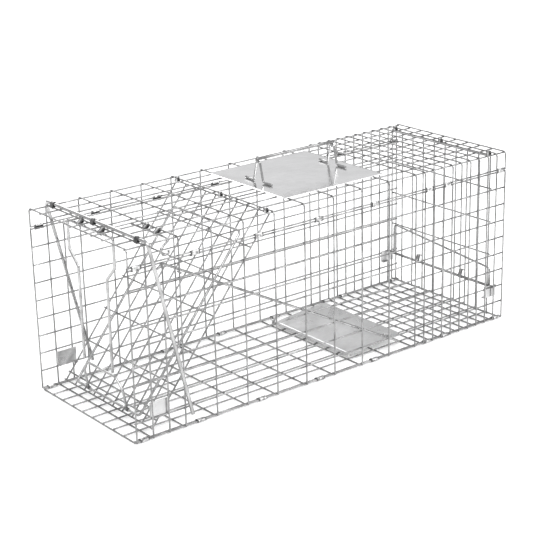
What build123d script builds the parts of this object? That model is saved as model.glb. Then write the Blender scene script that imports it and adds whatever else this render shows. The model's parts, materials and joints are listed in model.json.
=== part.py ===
"""Live catch trap: a welded wire cage with a sloping drop door, its locks, a treadle and a rear door.

The origin is at the middle of the footprint on the ground. +X runs from the drop door to the rear
door, +Y across the cage and +Z up. All sizes are in millimetres.
"""
import os
from math import atan2, cos, degrees, hypot, radians, sin, tan

from build123d import *

# Cage
PITCH = 25.4                 # spacing of the long wires, and of the side wires' rows
COARSE_PITCH = 2 * PITCH     # spacing of the cross wires over most of the length
COARSE_SPACES = 8            # coarse spaces behind the first three, narrower ones
DENSE_PITCH = 18.0           # spacing of the cross wires at the rear end
DENSE_SPACES = 10
ROWS = 9                     # mesh rows across the cage, and up its sides
MESH_WIRE = 2.2
WELD_DEPTH = 0.2             # share of a wire that sinks into the wire it is welded to
WELD_TOLERANCE = 0.001       # where the rear lock's wires, of one thickness, are joined
CORNER_BEND = 5.0            # bend of the top panel's cross wires over the long edges
SEAM_GAP = 3.4               # between the two wires that a seam clip holds
END_INSET = 10.0             # from the door end to the first seam clip

# Clips
CLIP_SHEET = 0.8
CLIP_CLEAR = 0.05            # between a clip and a wire that it grips
RUNNING_CLEAR = 0.10         # between a clip and a wire that turns in it
SEAM_CLIP_LENGTH = 14.0
PIVOT_CLIP_LENGTH = 7.0

# Clearances between pieces that move past each other
GAP = 0.5
DOOR_SIDE_GAP = 6.5          # from the doors' edges to the side panels, with room for the trigger rod

# Drop door
DOOR_HINGE_SPACE = 3         # coarse spaces from the door end's narrow ones to the hinge wire
DOOR_FOOT_X = 30.0           # of the door's free end, behind the door end of the cage
DOOR_FOOT_Z = 10.0           # of the same end, above the ground
DOOR_END_SPACE = 12.0        # from the free end up to the next cross wire
DOOR_BAR_WIRE = 3.5
DOOR_BAR_DROP = 36.0         # from the hinge down the slope to the long frame's upper bar
DOOR_BAR_HALF = 76.0
DOOR_BAR_BEND = 6.0
DOOR_BAR_JOINT = 0.6         # between the frame wire's ends, in the middle of the upper bar

# Outer bail
BAIL_WIRE = 5.0
BAIL_BEHIND = 2.8            # from the cross wire next to the door end back to its bar
BAIL_LEAN = 13.0             # of its legs from upright, degrees
BAIL_LEG_FOOT = 19.0         # height of the legs' cut ends
BAIL_BEND = 8.0

# Lock arms, which hang in front of the drop door
ARM_WIRE = 4.0
ARM_BEFORE = 4.4             # from the same cross wire forwards to their pivot
ARM_HALF = 54.0
ARM_FOOT_HALF = 34.0
ARM_JOG_DROP = 40.0          # from the arms' pivot down to the top of the jog
ARM_JOG_HEIGHT = 20.0
ARM_FOOT_RISE = 7.0          # from the front lock bail's bar up to the arms' cut ends

# Front lock bail, which turns on the lower bar of the drop door's long frame
LOCK_WIRE = 3.5
LOCK_TOP_X = 24.5
LOCK_TOP_Z = 60.0
LOCK_KNEE_X = 27.0
LOCK_KNEE_Z = 44.0
LOCK_BEND = 5.0
RING_LENGTH = 7.0            # of the rings on the bail's feet

# Catch plates on the side panels
PLATE_SHEET = 1.2
CATCH_FLANGE = 6.0
FRONT_CATCH_X = 24.0
FRONT_CATCH_Z = 28.0
FRONT_CATCH_LENGTH = 30.0
FRONT_CATCH_HEIGHT = 22.0
REAR_CATCH_LENGTH = 25.0
REAR_CATCH_HEIGHT = 18.0
REAR_CATCH_LAP = 8.0         # how far the rear plates reach past the rear door

# Treadle
TREADLE_X = 385.0
TREADLE_LENGTH = 98.0
TREADLE_SHEET = 1.2
TREADLE_ROD = 3.0
TREADLE_TAB = 1.6
TREADLE_TAB_LENGTH = 10.0
TREADLE_TRAVEL = 4.0         # degrees
TREADLE_FLOOR_GAP = 0.6      # under the pressed treadle

# Trigger
ROD_WIRE = 3.5
ROD_TOP_BEFORE = 16.0        # from the latch's pivot bar forwards to its upper bend
ROD_TOP_DROP = 32.0          # from the top mesh down to its upper bend
ROD_TIP_REACH = 8.5          # of its upper end, bent forwards and down
ROD_TIP_DROP = 6.0
ROD_FOOT_X = 458.0
ROD_FOOT_REACH = 34.0        # of its lower end, bent in through the treadle's ear
ROD_BEND = 4.0
REST_WIRE = 2.2
EAR_HOLE_Z = 3.2             # above the treadle's middle plane
EAR_LENGTH = 14.0
LATCH_WIRE = 3.0
LATCH_BEFORE = 5.2           # from the third cross wire forwards to its pivot bar
LATCH_BAR_END = 20.0         # from the cage's middle to the end of its pivot bar
LATCH_HOOK_INSET = 1.9       # from the drop door's edge in to its hook
LATCH_KNEE_REACH = 14.0      # from its pivot bar forwards to its knee
LATCH_KNEE_DROP = 10.4       # from its pivot bar down to its knee
LATCH_NOSE_DROP = 18.9       # from its pivot bar down to its nose
LATCH_NOSE_REACH = 11.0
LATCH_TIP_REACH = 2.0
LATCH_TIP_RISE = 5.0

# Rear door and its lock
REAR_DOOR_FOOT = 10.0
REAR_LOCK_WIRE = 3.2
REAR_LOCK_ROW = 4            # the door's cross wire that the lock rod lies on, from the hinge
REAR_LOCK_RISE_FAR = 48.0    # from the rod up to the bail's bar, at +Y
REAR_LOCK_RISE_NEAR = 28.0   # the same at -Y
REAR_LOCK_HALF = 104.0
REAR_LOCK_BEND = 6.0
REAR_LOCK_LIFT = 9.0         # travel that frees the rod's ends from the catch plates
REAR_NOTCH = 6.0             # depth of the catch plates' notches

# Guard plate and handle
GUARD_BEHIND = 42.4          # from the drop door's hinge wire back to the plate's front edge
GUARD_LENGTH = 178.0
GUARD_WIDTH = 170.0
GUARD_SHEET = 1.0
HANDLE_WIRE = 3.2
GRIP_WIRE = 4.5
HANDLE_FRONT = 24.0          # from the plate's front edge back to the handle's front support
HANDLE_REAR = 157.5          # from the same edge back to its rear support
HANDLE_HEIGHT = 33.0
HANDLE_FOOT_HALF = 10.0
HANDLE_TOE_HALF = 29.0

# Stations along the cage, from the door end
COARSE_END = 3 * PITCH + COARSE_SPACES * COARSE_PITCH
LENGTH = COARSE_END + DENSE_SPACES * DENSE_PITCH
WIDTH = ROWS * PITCH
LAYER = MESH_WIRE * (1 - WELD_DEPTH)
COARSE = [3 * PITCH + n * COARSE_PITCH for n in range(COARSE_SPACES + 1)]
DENSE = [COARSE_END + n * DENSE_PITCH for n in range(1, DENSE_SPACES + 1)]
TOP_STATIONS = [0, PITCH] + COARSE + DENSE
SIDE_STATIONS = [0, PITCH, 2 * PITCH] + COARSE + DENSE
FLOOR_STATIONS = [0, PITCH] + COARSE + DENSE

# Heights and widths that follow from them
HALF = WIDTH / 2
FLOOR_CROSS_Z = MESH_WIRE / 2
FLOOR_LONG_Z = FLOOR_CROSS_Z + LAYER
FLOOR_TOP = FLOOR_LONG_Z + MESH_WIRE / 2
SIDE_TOP_Z = FLOOR_LONG_Z + ROWS * PITCH
LIP_Z = SIDE_TOP_Z + SEAM_GAP
TOP_CROSS_Z = LIP_Z + PITCH
TOP_LONG_Z = TOP_CROSS_Z - LAYER
TOP = TOP_CROSS_Z + MESH_WIRE / 2
OUTER = HALF + LAYER
SIDE_FACE = OUTER + MESH_WIRE / 2
INNER = HALF - MESH_WIRE / 2
DOOR_HALF = INNER - DOOR_SIDE_GAP
HINGE_Z = TOP_LONG_Z - MESH_WIRE - GAP
HINGE_X = 3 * PITCH + DOOR_HINGE_SPACE * COARSE_PITCH
DOOR_LENGTH = hypot(HINGE_X - DOOR_FOOT_X, HINGE_Z - DOOR_FOOT_Z)
DOOR_SLOPE = degrees(atan2(HINGE_Z - DOOR_FOOT_Z, HINGE_X - DOOR_FOOT_X))
REAR_HINGE_X = LENGTH - DENSE_PITCH
GUARD_X = HINGE_X + GUARD_BEHIND
HANDLE_FRONT_X = GUARD_X + HANDLE_FRONT
HANDLE_REAR_X = GUARD_X + HANDLE_REAR
TOP_SPACING = 2 * (HALF - CORNER_BEND / 2) / ROWS
FLOOR_EDGE = HALF - SEAM_GAP
FLOOR_SPACING = 2 * FLOOR_EDGE / ROWS
GUARD_TOP = TOP + GUARD_SHEET
BAIL_X = PITCH + BAIL_BEHIND
BAIL_Z = TOP + BAIL_WIRE / 2 + RUNNING_CLEAR
BAIL_HALF = SIDE_FACE + GAP + BAIL_WIRE / 2
ARM_X = PITCH - ARM_BEFORE
ARM_Z = TOP_LONG_Z - (MESH_WIRE + ARM_WIRE) / 2 - GAP
ARM_FOOT = LOCK_TOP_Z + ARM_FOOT_RISE
LATCH_X = TOP_STATIONS[2] - LATCH_BEFORE
LATCH_Z = TOP_LONG_Z - (MESH_WIRE + LATCH_WIRE) / 2 - GAP
LATCH_HOOK_Y = DOOR_HALF - LATCH_HOOK_INSET
LATCH_KNEE_Z = LATCH_Z - LATCH_KNEE_DROP
LATCH_NOSE_Z = LATCH_Z - LATCH_NOSE_DROP
ROD_TOP_X = LATCH_X - ROD_TOP_BEFORE
ROD_TOP_Z = TOP_CROSS_Z - ROD_TOP_DROP
LOCK_U = DOOR_LENGTH - DOOR_END_SPACE / 2
DOOR_BAR_W = (MESH_WIRE + DOOR_BAR_WIRE) / 2
REAR_ROD_HALF = INNER - GAP
TREADLE_Z = FLOOR_TOP + TREADLE_FLOOR_GAP + TREADLE_ROD / 2 + TREADLE_SHEET
TREADLE_TAB_Y = 3.5 * FLOOR_SPACING
TREADLE_HALF = TREADLE_TAB_Y - TREADLE_TAB / 2 - GAP
TREADLE_TILT = TREADLE_TRAVEL
ROD_Y = -(DOOR_HALF + INNER) / 2
DOOR_SPACING = 2 * (DOOR_HALF - MESH_WIRE) / ROWS
REAR_ROD_X = REAR_HINGE_X + (MESH_WIRE + REAR_LOCK_WIRE) / 2 + GAP
REAR_ROD_Z = HINGE_Z - REAR_LOCK_ROW * COARSE_PITCH


def x_at(station):
    """The model's x at a distance from the cage's door end."""
    return station - LENGTH / 2


def rod(start, end, diameter):
    """A straight round wire with square-cut ends."""
    start, end = Vector(*start), Vector(*end)
    run = end - start
    return Solid.make_cylinder(diameter / 2, run.length, Plane(origin=start, z_dir=run))


def wire(points, diameter, bend):
    """A round wire bent along straight runs. bend is one radius, or one for each corner."""
    path = FilletPolyline(*points, radius=bend)
    return sweep(Plane(origin=path @ 0, z_dir=path % 0) * Circle(diameter / 2), path=path).solid()


def welded(wires):
    """Wires that are welded where they cross, as one solid."""
    return wires[0].fuse(*wires[1:])


def hull(circles):
    """The face inside a band stretched round two circles, each given as (u, v, radius)."""
    edges = [Pos(u, v) * CenterArc((0, 0), radius, 0, 360) for u, v, radius in circles]
    return make_hull(edges)


def clip(plane, circles, length, clearance):
    """A sheet clip folded round two parallel wires, given as (u, v, radius) in a plane across them."""
    inner = hull([(u, v, radius + clearance) for u, v, radius in circles])
    outer = hull([(u, v, radius + clearance + CLIP_SHEET) for u, v, radius in circles])
    return plane * Pos(0, 0, -length / 2) * extrude(outer - inner, length)


def across(x, y, z):
    """A plane across wires that run along Y: u is +X and v is +Z."""
    return Plane(origin=(x, y, z), x_dir=(1, 0, 0), z_dir=(0, -1, 0))


def along(x, y, z):
    """A plane across wires that run along X: u is +Y and v is +Z."""
    return Plane(origin=(x, y, z), x_dir=(0, 1, 0), z_dir=(1, 0, 0))


def long_wires(z, half):
    """The ten wires that run the length of the top or the floor."""
    spacing = 2 * half / ROWS
    start, end = x_at(0) - MESH_WIRE / 2, x_at(LENGTH) + MESH_WIRE / 2
    offsets = [-half + n * spacing for n in range(ROWS + 1)]
    return [rod((start, y, z), (end, y, z), MESH_WIRE) for y in offsets]


def top_mesh():
    """The top panel, whose cross wires are bent down over both long edges into short lips."""
    edge = HALF - CORNER_BEND / 2
    wires = long_wires(TOP_LONG_Z, edge)
    for side in (-1, 1):
        y = side * HALF
        start, end = x_at(0) - MESH_WIRE / 2, x_at(LENGTH) + MESH_WIRE / 2
        wires.append(rod((start, y, LIP_Z), (end, y, LIP_Z), MESH_WIRE))
    foot = LIP_Z - MESH_WIRE / 2
    for station in TOP_STATIONS:
        x = x_at(station)
        points = [(x, -OUTER, foot), (x, -OUTER, TOP_CROSS_Z), (x, OUTER, TOP_CROSS_Z), (x, OUTER, foot)]
        wires.append(wire(points, MESH_WIRE, CORNER_BEND))
    return welded(wires)


def floor_mesh():
    """The flat floor panel."""
    wires = long_wires(FLOOR_LONG_Z, FLOOR_EDGE)
    reach = FLOOR_EDGE + MESH_WIRE / 2
    for station in FLOOR_STATIONS:
        x = x_at(station)
        wires.append(rod((x, -reach, FLOOR_CROSS_Z), (x, reach, FLOOR_CROSS_Z), MESH_WIRE))
    return welded(wires)


def side_mesh(side):
    """A flat side panel. side is -1 for the panel at -Y and 1 for the one at +Y."""
    start, end = x_at(0) - MESH_WIRE / 2, x_at(LENGTH) + MESH_WIRE / 2
    rows = [FLOOR_LONG_Z + n * PITCH for n in range(ROWS + 1)]
    wires = [rod((start, side * HALF, z), (end, side * HALF, z), MESH_WIRE) for z in rows]
    low, high = FLOOR_LONG_Z - MESH_WIRE / 2, SIDE_TOP_Z + MESH_WIRE / 2
    for station in SIDE_STATIONS:
        x = x_at(station)
        wires.append(rod((x, side * OUTER, low), (x, side * OUTER, high), MESH_WIRE))
    return welded(wires)


def clear_of_wires(station, length):
    """The nearest station to the one asked for where a clip misses the cross wires."""
    room = (length + MESH_WIRE) / 2 + GAP
    lines = sorted(set(TOP_STATIONS + SIDE_STATIONS + FLOOR_STATIONS))
    middles = [(a + b) / 2 for a, b in zip(lines, lines[1:]) if (b - a) / 2 >= room]
    return min(middles, key=lambda middle: abs(middle - station))


def seam_stations():
    """Where the seam clips sit: the first and last, and every second coarse space between."""
    wanted = [END_INSET] + [s + PITCH for s in COARSE[0::2]] + [DENSE[3], DENSE[8]]
    return [clear_of_wires(station, SEAM_CLIP_LENGTH) for station in wanted]


def top_seam_clips():
    """Clips that join the lips of the top panel to the side panels."""
    pair = [(0, 0, MESH_WIRE / 2), (0, SEAM_GAP, MESH_WIRE / 2)]
    return [clip(along(x_at(station), side * HALF, SIDE_TOP_Z), pair, SEAM_CLIP_LENGTH, CLIP_CLEAR)
            for side in (-1, 1) for station in seam_stations()]


def floor_seam_clips():
    """Clips that join the floor to the side panels."""
    clips = []
    for side in (-1, 1):
        pair = [(0, 0, MESH_WIRE / 2), (-side * SEAM_GAP, 0, MESH_WIRE / 2)]
        for station in seam_stations():
            plane = along(x_at(station), side * HALF, FLOOR_LONG_Z)
            clips.append(clip(plane, pair, SEAM_CLIP_LENGTH, CLIP_CLEAR))
    return clips


def door_frame(length, rows):
    """A door's mesh, flat in XY: hinge wire on the Y axis, cross wires at rows and at length to -X."""
    wires = []
    for n in range(ROWS + 1):
        y = (n - ROWS / 2) * DOOR_SPACING
        wires.append(rod((0, y, -LAYER), (-length - MESH_WIRE / 2, y, -LAYER), MESH_WIRE))
    for row in rows + [length]:
        wires.append(rod((-row, -DOOR_HALF, 0), (-row, DOOR_HALF, 0), MESH_WIRE))
    return welded(wires)


def on_door(u, y, w):
    """The point u down the drop door's slope, at y, and w out from its mesh."""
    slope = radians(DOOR_SLOPE)
    return (x_at(HINGE_X) - u * cos(slope) - w * sin(slope), y, HINGE_Z - u * sin(slope) + w * cos(slope))


def drop_door_frame():
    """The drop door's plane at rest: origin on its hinge wire, x up its slope, z out from its face."""
    slope = radians(DOOR_SLOPE)
    up, out = (cos(slope), 0, sin(slope)), (-sin(slope), 0, cos(slope))
    return Plane(origin=on_door(0, 0, 0), x_dir=up, z_dir=out)


def front_door():
    """The drop door's mesh, with its long wires on the inner face and two close wires at its foot."""
    last = DOOR_LENGTH - DOOR_END_SPACE
    count = int((last - COARSE_PITCH / 2) / COARSE_PITCH)
    rows = [n * COARSE_PITCH for n in range(count + 1)] + [last]
    return drop_door_frame() * door_frame(DOOR_LENGTH, rows)


def door_frame_wire():
    """The long frame on the drop door's outer face: one wire whose ends meet in its upper bar."""
    end = DOOR_BAR_JOINT / 2
    outline = [(DOOR_BAR_DROP, end), (DOOR_BAR_DROP, DOOR_BAR_HALF), (LOCK_U, DOOR_BAR_HALF)]
    points = [on_door(u, y, DOOR_BAR_W) for u, y in outline]
    points += [on_door(u, -y, DOOR_BAR_W) for u, y in reversed(outline)]
    return wire(points, DOOR_BAR_WIRE, DOOR_BAR_BEND)


def hinge_clips(station):
    """Three clips that hang a door's top wire from the cross wire above it."""
    pair = [(0, 0, MESH_WIRE / 2), (0, TOP_CROSS_Z - HINGE_Z, MESH_WIRE / 2)]
    edge_wire = DOOR_HALF - MESH_WIRE
    reach = min(4 * TOP_SPACING, edge_wire - (PIVOT_CLIP_LENGTH + MESH_WIRE) / 2 - GAP)
    clips = []
    for y in (-reach, 0, reach):
        plane = across(x_at(station), y, HINGE_Z)
        clips.append(clip(plane, pair, PIVOT_CLIP_LENGTH, RUNNING_CLEAR))
    return clips


def outer_bail():
    """The heavy bail: a bar on the top mesh, and legs that lean back down the outsides."""
    drop = BAIL_Z - BAIL_LEG_FOOT
    foot_x = x_at(BAIL_X) + drop * tan(radians(BAIL_LEAN))
    points = [(foot_x, -BAIL_HALF, BAIL_LEG_FOOT), (x_at(BAIL_X), -BAIL_HALF, BAIL_Z),
              (x_at(BAIL_X), BAIL_HALF, BAIL_Z), (foot_x, BAIL_HALF, BAIL_LEG_FOOT)]
    return wire(points, BAIL_WIRE, BAIL_BEND)


def bail_clips():
    """Three clips that hold the heavy bail to the cross wire beside it."""
    pair = [(0, 0, BAIL_WIRE / 2), (PITCH - BAIL_X, TOP_CROSS_Z - BAIL_Z, MESH_WIRE / 2)]
    return [clip(across(x_at(BAIL_X), row * TOP_SPACING, BAIL_Z), pair, PIVOT_CLIP_LENGTH, RUNNING_CLEAR)
            for row in (-4, 0, 4)]


def lock_arms():
    """The frame of two cranked arms that hangs in front of the drop door."""
    x = x_at(ARM_X)
    jog = ARM_Z - ARM_JOG_DROP
    outline = [(ARM_FOOT_HALF, ARM_FOOT), (ARM_FOOT_HALF, jog - ARM_JOG_HEIGHT), (ARM_HALF, jog),
               (ARM_HALF, ARM_Z)]
    points = [(x, -y, z) for y, z in outline] + [(x, y, z) for y, z in reversed(outline)]
    return wire(points, ARM_WIRE, ARM_WIRE)


def arm_clips():
    """Two clips that hang the lock arms from the cross wire above them."""
    pair = [(0, 0, ARM_WIRE / 2), (PITCH - ARM_X, TOP_CROSS_Z - ARM_Z, MESH_WIRE / 2)]
    return [clip(across(x_at(ARM_X), row * TOP_SPACING, ARM_Z), pair, PIVOT_CLIP_LENGTH, RUNNING_CLEAR)
            for row in (-1, 1)]


def front_lock_bail():
    """The bail at the drop door's foot: a raised bar whose legs end in rings on the long frame."""
    pivot = Vector(*on_door(LOCK_U, 0, DOOR_BAR_W))
    foot_y = 2 * DOOR_SPACING
    knee = Vector(x_at(LOCK_KNEE_X), 0, LOCK_KNEE_Z)
    bore = DOOR_BAR_WIRE / 2 + RUNNING_CLEAR
    foot = pivot + (knee - pivot).normalized() * (bore + CLIP_SHEET / 2)
    outline = [(foot.X, foot_y, foot.Z), (knee.X, foot_y, knee.Z),
               (x_at(LOCK_TOP_X), ARM_FOOT_HALF, LOCK_TOP_Z)]
    points = [(x, -y, z) for x, y, z in outline] + list(reversed(outline))
    bail = wire(points, LOCK_WIRE, LOCK_BEND)
    for side in (-1, 1):
        place = across(pivot.X, side * foot_y, pivot.Z)
        ring = Cylinder(bore + CLIP_SHEET, RING_LENGTH) - Cylinder(bore, 2 * RING_LENGTH)
        bail = bail.fuse((place * ring).solid())
    return bail


def catch_plate(side, x, z, length, height, flange):
    """A plate on a side panel's inner face. x and z are its front lower corner.

    flange is the x where its inward-folded foot starts, and that foot's length.
    """
    middle = Pos(x + length / 2, side * (INNER - PLATE_SHEET / 2), z + height / 2)
    plate = middle * Box(length, PLATE_SHEET, height)
    start, reach = flange
    place = Pos(start + reach / 2, side * (INNER - CATCH_FLANGE / 2), z + PLATE_SHEET / 2)
    return plate + place * Box(reach, CATCH_FLANGE, PLATE_SHEET)


def front_catch_plate(side):
    """The plate beside the drop door's foot."""
    x = x_at(FRONT_CATCH_X)
    flange = (x + FRONT_CATCH_LENGTH - CATCH_FLANGE, CATCH_FLANGE)
    return catch_plate(side, x, FRONT_CATCH_Z, FRONT_CATCH_LENGTH, FRONT_CATCH_HEIGHT, flange)


def rear_catch_plate(side):
    """The plate that holds an end of the rear lock rod in an open notch."""
    x = x_at(REAR_HINGE_X + REAR_CATCH_LAP) - REAR_CATCH_LENGTH
    foot = REAR_ROD_Z + REAR_NOTCH - REAR_CATCH_HEIGHT - REAR_LOCK_WIRE / 2
    plate = catch_plate(side, x, foot, REAR_CATCH_LENGTH, REAR_CATCH_HEIGHT, (x, REAR_CATCH_LENGTH / 2))
    rod_x, face, room = x_at(REAR_ROD_X), side * (INNER - PLATE_SHEET / 2), REAR_LOCK_WIRE / 2 + GAP
    plate -= Pos(rod_x, face, REAR_ROD_Z) * Rot(90, 0, 0) * Cylinder(room, 2 * PLATE_SHEET)
    rise = REAR_CATCH_HEIGHT
    return plate - Pos(rod_x, face, REAR_ROD_Z + rise / 2) * Box(2 * room, 2 * PLATE_SHEET, rise)


def treadle_frame():
    """The treadle's plane at rest: origin on its pivot, x towards the rear along the plate."""
    tilt = radians(TREADLE_TILT)
    return Plane(origin=(x_at(TREADLE_X), 0, TREADLE_Z), x_dir=(cos(tilt), 0, sin(tilt)),
                 z_dir=(-sin(tilt), 0, cos(tilt)))


def ear_hole():
    """The middle of the hole in the treadle's ear."""
    reach = ROD_FOOT_X - TREADLE_X
    return treadle_frame().from_local_coords((reach, -TREADLE_HALF, EAR_HOLE_Z))


def treadle():
    """The treadle plate, with its front edge rolled round the pivot rod and an ear for the trigger rod."""
    bore = TREADLE_ROD / 2 + RUNNING_CLEAR
    roll = bore + TREADLE_SHEET
    length = 2 * TREADLE_HALF
    sheet = Pos(TREADLE_LENGTH / 2, 0, 0) * Box(TREADLE_LENGTH, length, TREADLE_SHEET)
    sheet = fillet(sheet.edges().filter_by(Axis.Z).group_by(Axis.X)[-1], 6)
    knuckle = Rot(90, 0, 0) * Cylinder(roll, length)
    reach = ROD_FOOT_X - TREADLE_X
    height = EAR_HOLE_Z + ROD_WIRE / 2 + 3 * TREADLE_SHEET
    ear = Pos(reach, TREADLE_SHEET / 2 - TREADLE_HALF, height / 2) * Box(EAR_LENGTH, TREADLE_SHEET, height)
    ear = fillet(ear.edges().filter_by(Axis.Y).group_by(Axis.Z)[-1], 3)
    hole = Pos(reach, -TREADLE_HALF, EAR_HOLE_Z) * Rot(90, 0, 0) * Cylinder(ROD_WIRE / 2 + RUNNING_CLEAR, 4)
    plate = sheet + knuckle - Rot(90, 0, 0) * Cylinder(bore, 2 * length)
    return treadle_frame() * (plate + ear - hole)


def treadle_rod():
    """The rod that the treadle turns on."""
    reach = TREADLE_TAB_Y + TREADLE_TAB
    x = x_at(TREADLE_X)
    return rod((x, -reach, TREADLE_Z), (x, reach, TREADLE_Z), TREADLE_ROD)


def treadle_tab(side):
    """An upright tab on a floor wire, with a hole for the treadle's rod."""
    foot = FLOOR_LONG_Z + MESH_WIRE / 2
    top = TREADLE_Z + TREADLE_ROD / 2 + 2 * TREADLE_TAB
    tab = Pos(0, 0, (foot + top) / 2) * Box(TREADLE_TAB_LENGTH, TREADLE_TAB, top - foot)
    tab = fillet(tab.edges().filter_by(Axis.Y).group_by(Axis.Z)[-1], 3)
    tab -= Pos(0, 0, TREADLE_Z) * Rot(90, 0, 0) * Cylinder(TREADLE_ROD / 2, 2 * TREADLE_TAB)
    return Pos(x_at(TREADLE_X), side * TREADLE_TAB_Y, 0) * tab


def trigger_rod():
    """The long rod from the treadle's ear up to the latch, with its upper end bent down."""
    foot = ear_hole()
    points = [(x_at(ROD_TOP_X - ROD_TIP_REACH), ROD_Y, ROD_TOP_Z - ROD_TIP_DROP),
              (x_at(ROD_TOP_X), ROD_Y, ROD_TOP_Z), (foot.X, ROD_Y, foot.Z),
              (foot.X, ROD_Y + ROD_FOOT_REACH, foot.Z)]
    return wire(points, ROD_WIRE, ROD_BEND)


def rod_rest():
    """The peg on the near side panel's upright that the trigger rod lies over."""
    foot = ear_hole()
    x = x_at(SIDE_STATIONS[3]) + (MESH_WIRE + REST_WIRE) / 2
    fall = atan2(ROD_TOP_Z - foot.Z, foot.X - x_at(ROD_TOP_X))
    z = ROD_TOP_Z - (x - x_at(ROD_TOP_X)) * tan(fall) - ((ROD_WIRE + REST_WIRE) / 2 + GAP) / cos(fall)
    return rod((x, -SIDE_FACE, z), (x, ROD_Y + ROD_WIRE / 2, z), REST_WIRE)


def trigger_latch():
    """The wire latch: a pivot bar under the top mesh and a hook that hangs beside the open door's edge."""
    outline = [(0, LATCH_Z), (LATCH_KNEE_REACH, LATCH_KNEE_Z), (LATCH_NOSE_REACH, LATCH_NOSE_Z),
               (LATCH_TIP_REACH, LATCH_NOSE_Z), (LATCH_TIP_REACH, LATCH_NOSE_Z + LATCH_TIP_RISE)]
    points = [(x_at(LATCH_X), -LATCH_BAR_END, LATCH_Z)]
    points += [(x_at(LATCH_X - reach), -LATCH_HOOK_Y, z) for reach, z in outline]
    return wire(points, LATCH_WIRE, [2.0, 3.0, 2.0, 2.0])


def latch_clips():
    """Two clips that hang the latch's pivot bar from the cross wire above it."""
    pair = [(0, 0, LATCH_WIRE / 2), (TOP_STATIONS[2] - LATCH_X, TOP_CROSS_Z - LATCH_Z, MESH_WIRE / 2)]
    return [clip(across(x_at(LATCH_X), row * TOP_SPACING, LATCH_Z), pair, PIVOT_CLIP_LENGTH, RUNNING_CLEAR)
            for row in (-3, -2)]


def rear_door():
    """The rear door's mesh, hanging straight down from its hinge wire."""
    frame = Plane(origin=(x_at(REAR_HINGE_X), 0, HINGE_Z), x_dir=(0, 0, 1), z_dir=(1, 0, 0))
    rows = [n * COARSE_PITCH for n in range(REAR_LOCK_ROW + 1)]
    return frame * door_frame(HINGE_Z - REAR_DOOR_FOOT, rows)


def rear_lock():
    """The rear lock: a rod across the door, with a bail welded on it whose bar slopes down to -Y."""
    x = x_at(REAR_ROD_X)
    rod_wire = rod((x, -REAR_ROD_HALF, REAR_ROD_Z), (x, REAR_ROD_HALF, REAR_ROD_Z), REAR_LOCK_WIRE)
    near, far = REAR_ROD_Z + REAR_LOCK_RISE_NEAR, REAR_ROD_Z + REAR_LOCK_RISE_FAR
    points = [(x, -REAR_LOCK_HALF, REAR_ROD_Z), (x, -REAR_LOCK_HALF, near),
              (x, REAR_LOCK_HALF, far), (x, REAR_LOCK_HALF, REAR_ROD_Z)]
    return rod_wire.fuse(wire(points, REAR_LOCK_WIRE, REAR_LOCK_BEND), tol=WELD_TOLERANCE)


def rear_lock_clips():
    """Two tall clips on the rear door, in which the lock rod slides up and down."""
    w = REAR_ROD_X - REAR_HINGE_X
    pair = [(0, 0, MESH_WIRE / 2), (w, 0, REAR_LOCK_WIRE / 2), (w, REAR_LOCK_LIFT + GAP, REAR_LOCK_WIRE / 2)]
    return [clip(across(x_at(REAR_HINGE_X), side * 2 * DOOR_SPACING, REAR_ROD_Z), pair, PIVOT_CLIP_LENGTH,
                 RUNNING_CLEAR) for side in (-1, 1)]


def guard_plate():
    """The flat sheet on the top mesh that keeps the animal from the carrying hand."""
    middle = Pos(x_at(GUARD_X + GUARD_LENGTH / 2), 0, TOP + GUARD_SHEET / 2)
    plate = middle * Box(GUARD_LENGTH, GUARD_WIDTH, GUARD_SHEET)
    return fillet(plate.edges().filter_by(Axis.Z), 4)


def handle_support(station):
    """A wire bent to an upturned V with its toes spread on the guard plate."""
    x, foot = x_at(station), GUARD_TOP + HANDLE_WIRE / 2
    top = GUARD_TOP + HANDLE_HEIGHT - (GRIP_WIRE + HANDLE_WIRE) / 2
    outline = [(HANDLE_TOE_HALF, foot), (HANDLE_FOOT_HALF, foot), (HANDLE_WIRE, top)]
    points = [(x, -y, z) for y, z in outline] + [(x, y, z) for y, z in reversed(outline)]
    return wire(points, HANDLE_WIRE, HANDLE_WIRE)


def grip_bar():
    """The bar that the hand holds, on top of both supports."""
    z = GUARD_TOP + HANDLE_HEIGHT
    start, end = x_at(HANDLE_FRONT_X - HANDLE_WIRE), x_at(HANDLE_REAR_X + HANDLE_WIRE)
    bar = rod((start, 0, z), (end, 0, z), GRIP_WIRE)
    return fillet(bar.edges().filter_by(GeomType.CIRCLE), 1.2)


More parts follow.
